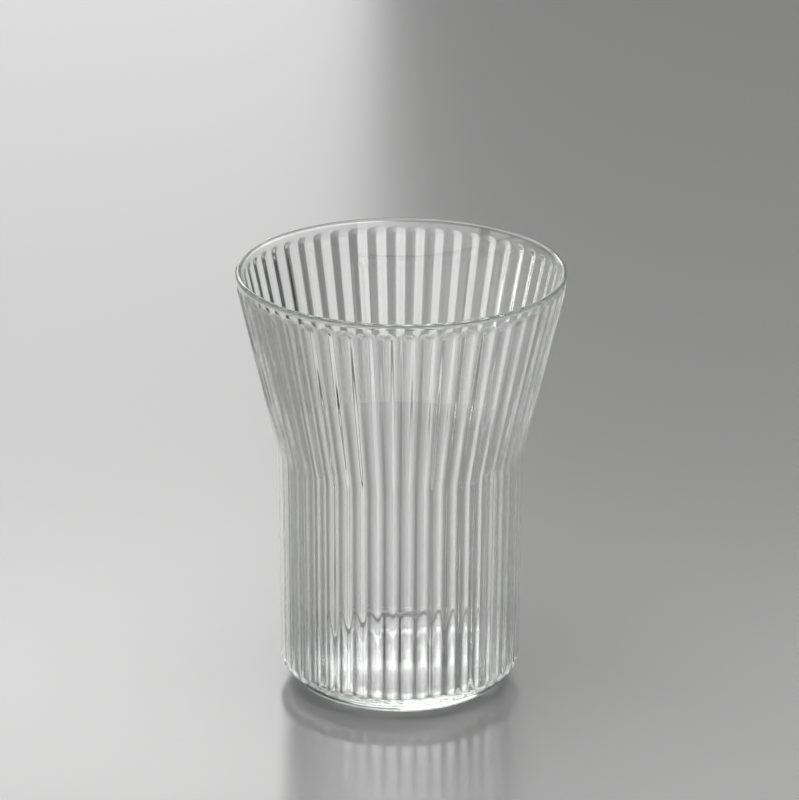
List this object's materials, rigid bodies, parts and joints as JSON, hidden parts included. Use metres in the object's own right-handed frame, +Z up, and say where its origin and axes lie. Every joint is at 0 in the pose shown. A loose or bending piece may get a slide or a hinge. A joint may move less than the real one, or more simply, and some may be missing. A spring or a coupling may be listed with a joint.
{
  "type": "ribbed chai glass",
  "caption": "Clear ribbed glass tumbler with a straight lower body, a soft waist, a flared mouth and a rounded rim, for drinking hot tea.",
  "frame": {"origin": "centre of the base, on the table that the glass stands on", "axes": "+Z up along the glass's own axis, towards the mouth; the ribs repeat around it"},
  "size_m": [0.0752, 0.0752, 0.1],
  "materials": {
    "clear_glass": "clear, fire-polished, with moulded ribs"
  },
  "bodies": {
    "root": {"tumbler": "clear_glass"}
  },
  "joints": []
}
